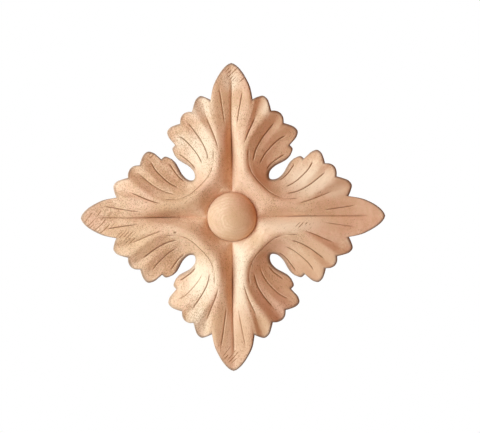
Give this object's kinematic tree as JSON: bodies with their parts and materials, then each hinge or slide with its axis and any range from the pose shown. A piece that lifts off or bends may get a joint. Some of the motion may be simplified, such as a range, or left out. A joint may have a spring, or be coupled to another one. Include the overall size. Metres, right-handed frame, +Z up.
{
  "type": "decorative rosette",
  "caption": "Carved wooden rosette of leaf arms in a cross round a ball, with fluted lobes, open eyes and a flat back, to fix on furniture or a wall.",
  "frame": {"origin": "centre of the flat back, where the rosette is fixed", "axes": "+Y out of the back towards what it is fixed on, the carving faces -Y, +Z up along the grain, +X to the right as one faces the carving"},
  "size_m": [0.1484, 0.0155, 0.15],
  "materials": {
    "raw_wood": "raw sanded pale pinkish hardwood, unsealed, with small dark flecks"
  },
  "bodies": {
    "root": {"carved_rosette": "raw_wood"}
  },
  "joints": []
}
